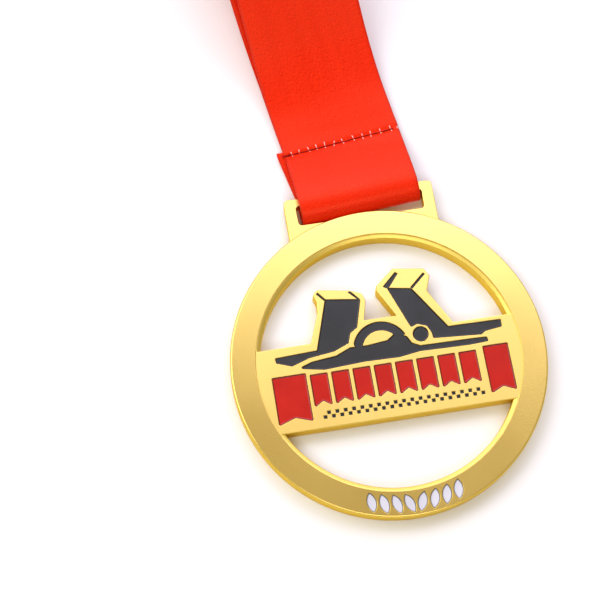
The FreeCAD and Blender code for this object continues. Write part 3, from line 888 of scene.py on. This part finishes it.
def add_strand(bm, points, radius, sides=8):
    """A round thread with domed ends through the points, in mm."""
    line = smooth_line(points, 0.12)
    ahead = unit(np.gradient(line, axis=0))
    rings = []
    last = len(line) - 1
    for k, (centre, along) in enumerate(zip(line, ahead)):
        taper = min(1.0, 0.35 + 0.35 * min(k, last - k))
        side = np.cross(along, (0, 0, 1))
        side /= np.linalg.norm(side)
        up = np.cross(side, along)
        turns = [2 * math.pi * n / sides for n in range(sides)]
        spokes = [math.cos(a) * side + math.sin(a) * up for a in turns]
        rings.append([bm.verts.new((centre + radius * taper * spoke) * MM) for spoke in spokes])
    join_rings(bm, rings)


def seam_places(middle):
    """A function that turns (across, onward, up) from the seam's middle into a place in the row frame."""
    tilt = (LOOP_TILT + LEG_TILT) / 2
    side = np.array([math.cos(tilt), math.sin(tilt), 0])
    onward = np.array([-side[1], side[0], 0])
    level = np.array([0, 0, 1.0])
    return lambda a, b, c: middle + side * a + onward * b + level * c


def add_stitches(dark, pale, place):
    """The running line of thread in the groove, with a pale tick on each side where it dips."""
    half = RIBBON_WIDTH / 2
    v = -half + SEAM_END
    line = [(-half + 0.1, 0.16), (-half + 0.8, 0.02)]
    while v < half - SEAM_END:
        line += [(v - 0.6, 0.07), (v, -0.06), (v + 0.6, 0.07)]
        lean = random.uniform(-0.3, 0.3)
        for near, far in ((0.18, random.uniform(0.8, 1.2)), (-0.16, random.uniform(-1.0, -0.6))):
            tick = [(near, 0.02), (near * 0.5 + far * 0.5, 0.32), (far, 0.18)]
            add_strand(pale, [place(v + a * lean, a, b) for a, b in tick], TICK_RADIUS)
        v += random.uniform(*STITCH_GAPS)
    line += [(half - 2.2, 0.12), (half - SEAM_END, -0.2)]
    add_strand(dark, [place(a, random.uniform(-0.07, 0.07), b) for a, b in line], RUN_RADIUS)


def add_knot(dark, place):
    """Two loose ends and three windings at the seam's left end."""
    half = RIBBON_WIDTH / 2
    for reach, turn in ((0.9, 0.5), (0.7, -0.4)):
        end = [(0.4, 0.0), (0, 0.05), (-reach * 0.6, 0.1 + turn * 0.4), (-reach, turn)]
        add_strand(dark, [place(a - half, b, 0.2) for a, b in end], END_RADIUS)
    for start in (0.2, 0.75, 1.25):
        winding = [(start, -0.42, 0.0), (start + 0.1, -0.25, 0.26), (start + 0.25, 0.2, 0.28),
                   (start + 0.3, 0.4, 0.0)]
        add_strand(dark, [place(a - half, b, c) for a, b, c in winding], KNOT_RADIUS)


def add_stub(pale, place):
    """A short pale end at the seam's right end."""
    half = RIBBON_WIDTH / 2
    stub = [(half - 0.45, -0.3, 0.05), (half - 0.4, 0.05, 0.3), (half - 0.3, 0.45, 0.12)]
    add_strand(pale, [place(a, b, c) for a, b, c in stub], STUB_RADIUS)


def make_seam(middle):
    """The seam's dark thread with its knot, and its pale ticks and stub."""
    dark, pale = bmesh.new(), bmesh.new()
    place = seam_places(middle)
    add_stitches(dark, pale, place)
    add_knot(dark, place)
    add_stub(pale, place)
    finish_seam(dark, "seam_thread_red", thread_red())
    finish_seam(pale, "seam_thread_pale", thread_pale())


def finish_seam(bm, name, material):
    bmesh.ops.recalc_face_normals(bm, faces=bm.faces)
    piece = finish_mesh(bm, name, material, CLOTH_ANGLE)
    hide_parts("seam_thread")
    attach(piece, "ribbon")


# ---------------------------------------------------------------- stage

FLOOR_SIZE = 6.0        # metres
FLOOR_DROP = 0.00002    # metres below the medal's back
SKY_LOW = 0.1           # the world's colour runs between these heights of the view's direction
SKY_HIGH = 0.8
EYE = (-44.9, -90.05, 348.85)       # the camera's place, in mm
TARGET = (-18.32, 19.31, 0.0)       # the spot it looks at
PICTURE_UP = (0.1626, 0.9867, 0.0)  # direction on the floor that runs up the picture


def make_floor():
    bpy.ops.mesh.primitive_plane_add(size=FLOOR_SIZE, location=(0, 0, -FLOOR_DROP))
    floor = bpy.context.object
    floor.name = "floor"
    floor.data.materials.append(floor_material())


def area_light(name, place, target, size, watts, colour=(1, 1, 1)):
    data = bpy.data.lights.new(name, "AREA")
    data.shape = "RECTANGLE"
    data.size, data.size_y = size
    data.energy = watts
    data.color = colour
    light = bpy.data.objects.new(name, data)
    light.location = place
    light.rotation_euler = (Vector(target) - Vector(place)).to_track_quat("-Z", "Y").to_euler()
    bpy.context.scene.collection.objects.link(light)


def make_world():
    """A warm even surround, slightly duller and warmer near the floor."""
    world = bpy.data.worlds.new("studio")
    world.use_nodes = True
    nodes = world.node_tree.nodes
    links = world.node_tree.links
    place = nodes.new("ShaderNodeTexCoord")
    parts = nodes.new("ShaderNodeSeparateXYZ")
    ramp = nodes.new("ShaderNodeValToRGB")
    links.new(place.outputs["Generated"], parts.inputs[0])
    links.new(parts.outputs["Z"], ramp.inputs[0])
    links.new(ramp.outputs["Color"], nodes["Background"].inputs["Color"])
    low, high = ramp.color_ramp.elements
    low.position = SKY_LOW
    low.color = (0.42, 0.36, 0.27, 1)
    high.position = SKY_HIGH
    high.color = (0.44, 0.405, 0.33, 1)
    bpy.context.scene.world = world


def make_lamps():
    """A cool softbox beyond the medal, a neutral one on its left and a weak strip on the near side."""
    area_light("far_softbox", place=(0.10, 0.55, 0.66), target=(0, 0.03, 0), size=(1.0, 0.6),
               watts=4.6, colour=(0.95, 0.97, 1.3))
    area_light("left_softbox", place=(-0.55, 0.25, 0.6), target=(0, 0.02, 0), size=(0.5, 0.6),
               watts=3.2, colour=(1.0, 0.99, 0.97))
    area_light("near_fill", place=(-0.1, -0.48, 0.70), target=(0, 0.05, 0), size=(0.7, 0.25), watts=1.9)


def make_camera():
    """From above the medal's lower left, rolled so that the medal leans left in the picture."""
    data = bpy.data.cameras.new("camera")
    data.lens = 90.0
    data.sensor_width = 36.0
    data.clip_start = 0.01
    camera = bpy.data.objects.new("camera", data)
    place = Vector(EYE) * MM
    back = (place - Vector(TARGET) * MM).normalized()
    right = Vector(PICTURE_UP).cross(back).normalized()
    up = back.cross(right)
    camera.matrix_world = Matrix.Translation(place) @ Matrix((right, up, back)).transposed().to_4x4()
    bpy.context.scene.collection.objects.link(camera)
    bpy.context.scene.camera = camera


make_camera()
make_casting()
make_all_enamel()
make_seam(make_ribbon())
make_floor()
make_world()
make_lamps()
bpy.context.scene.view_settings.view_transform = "Standard"
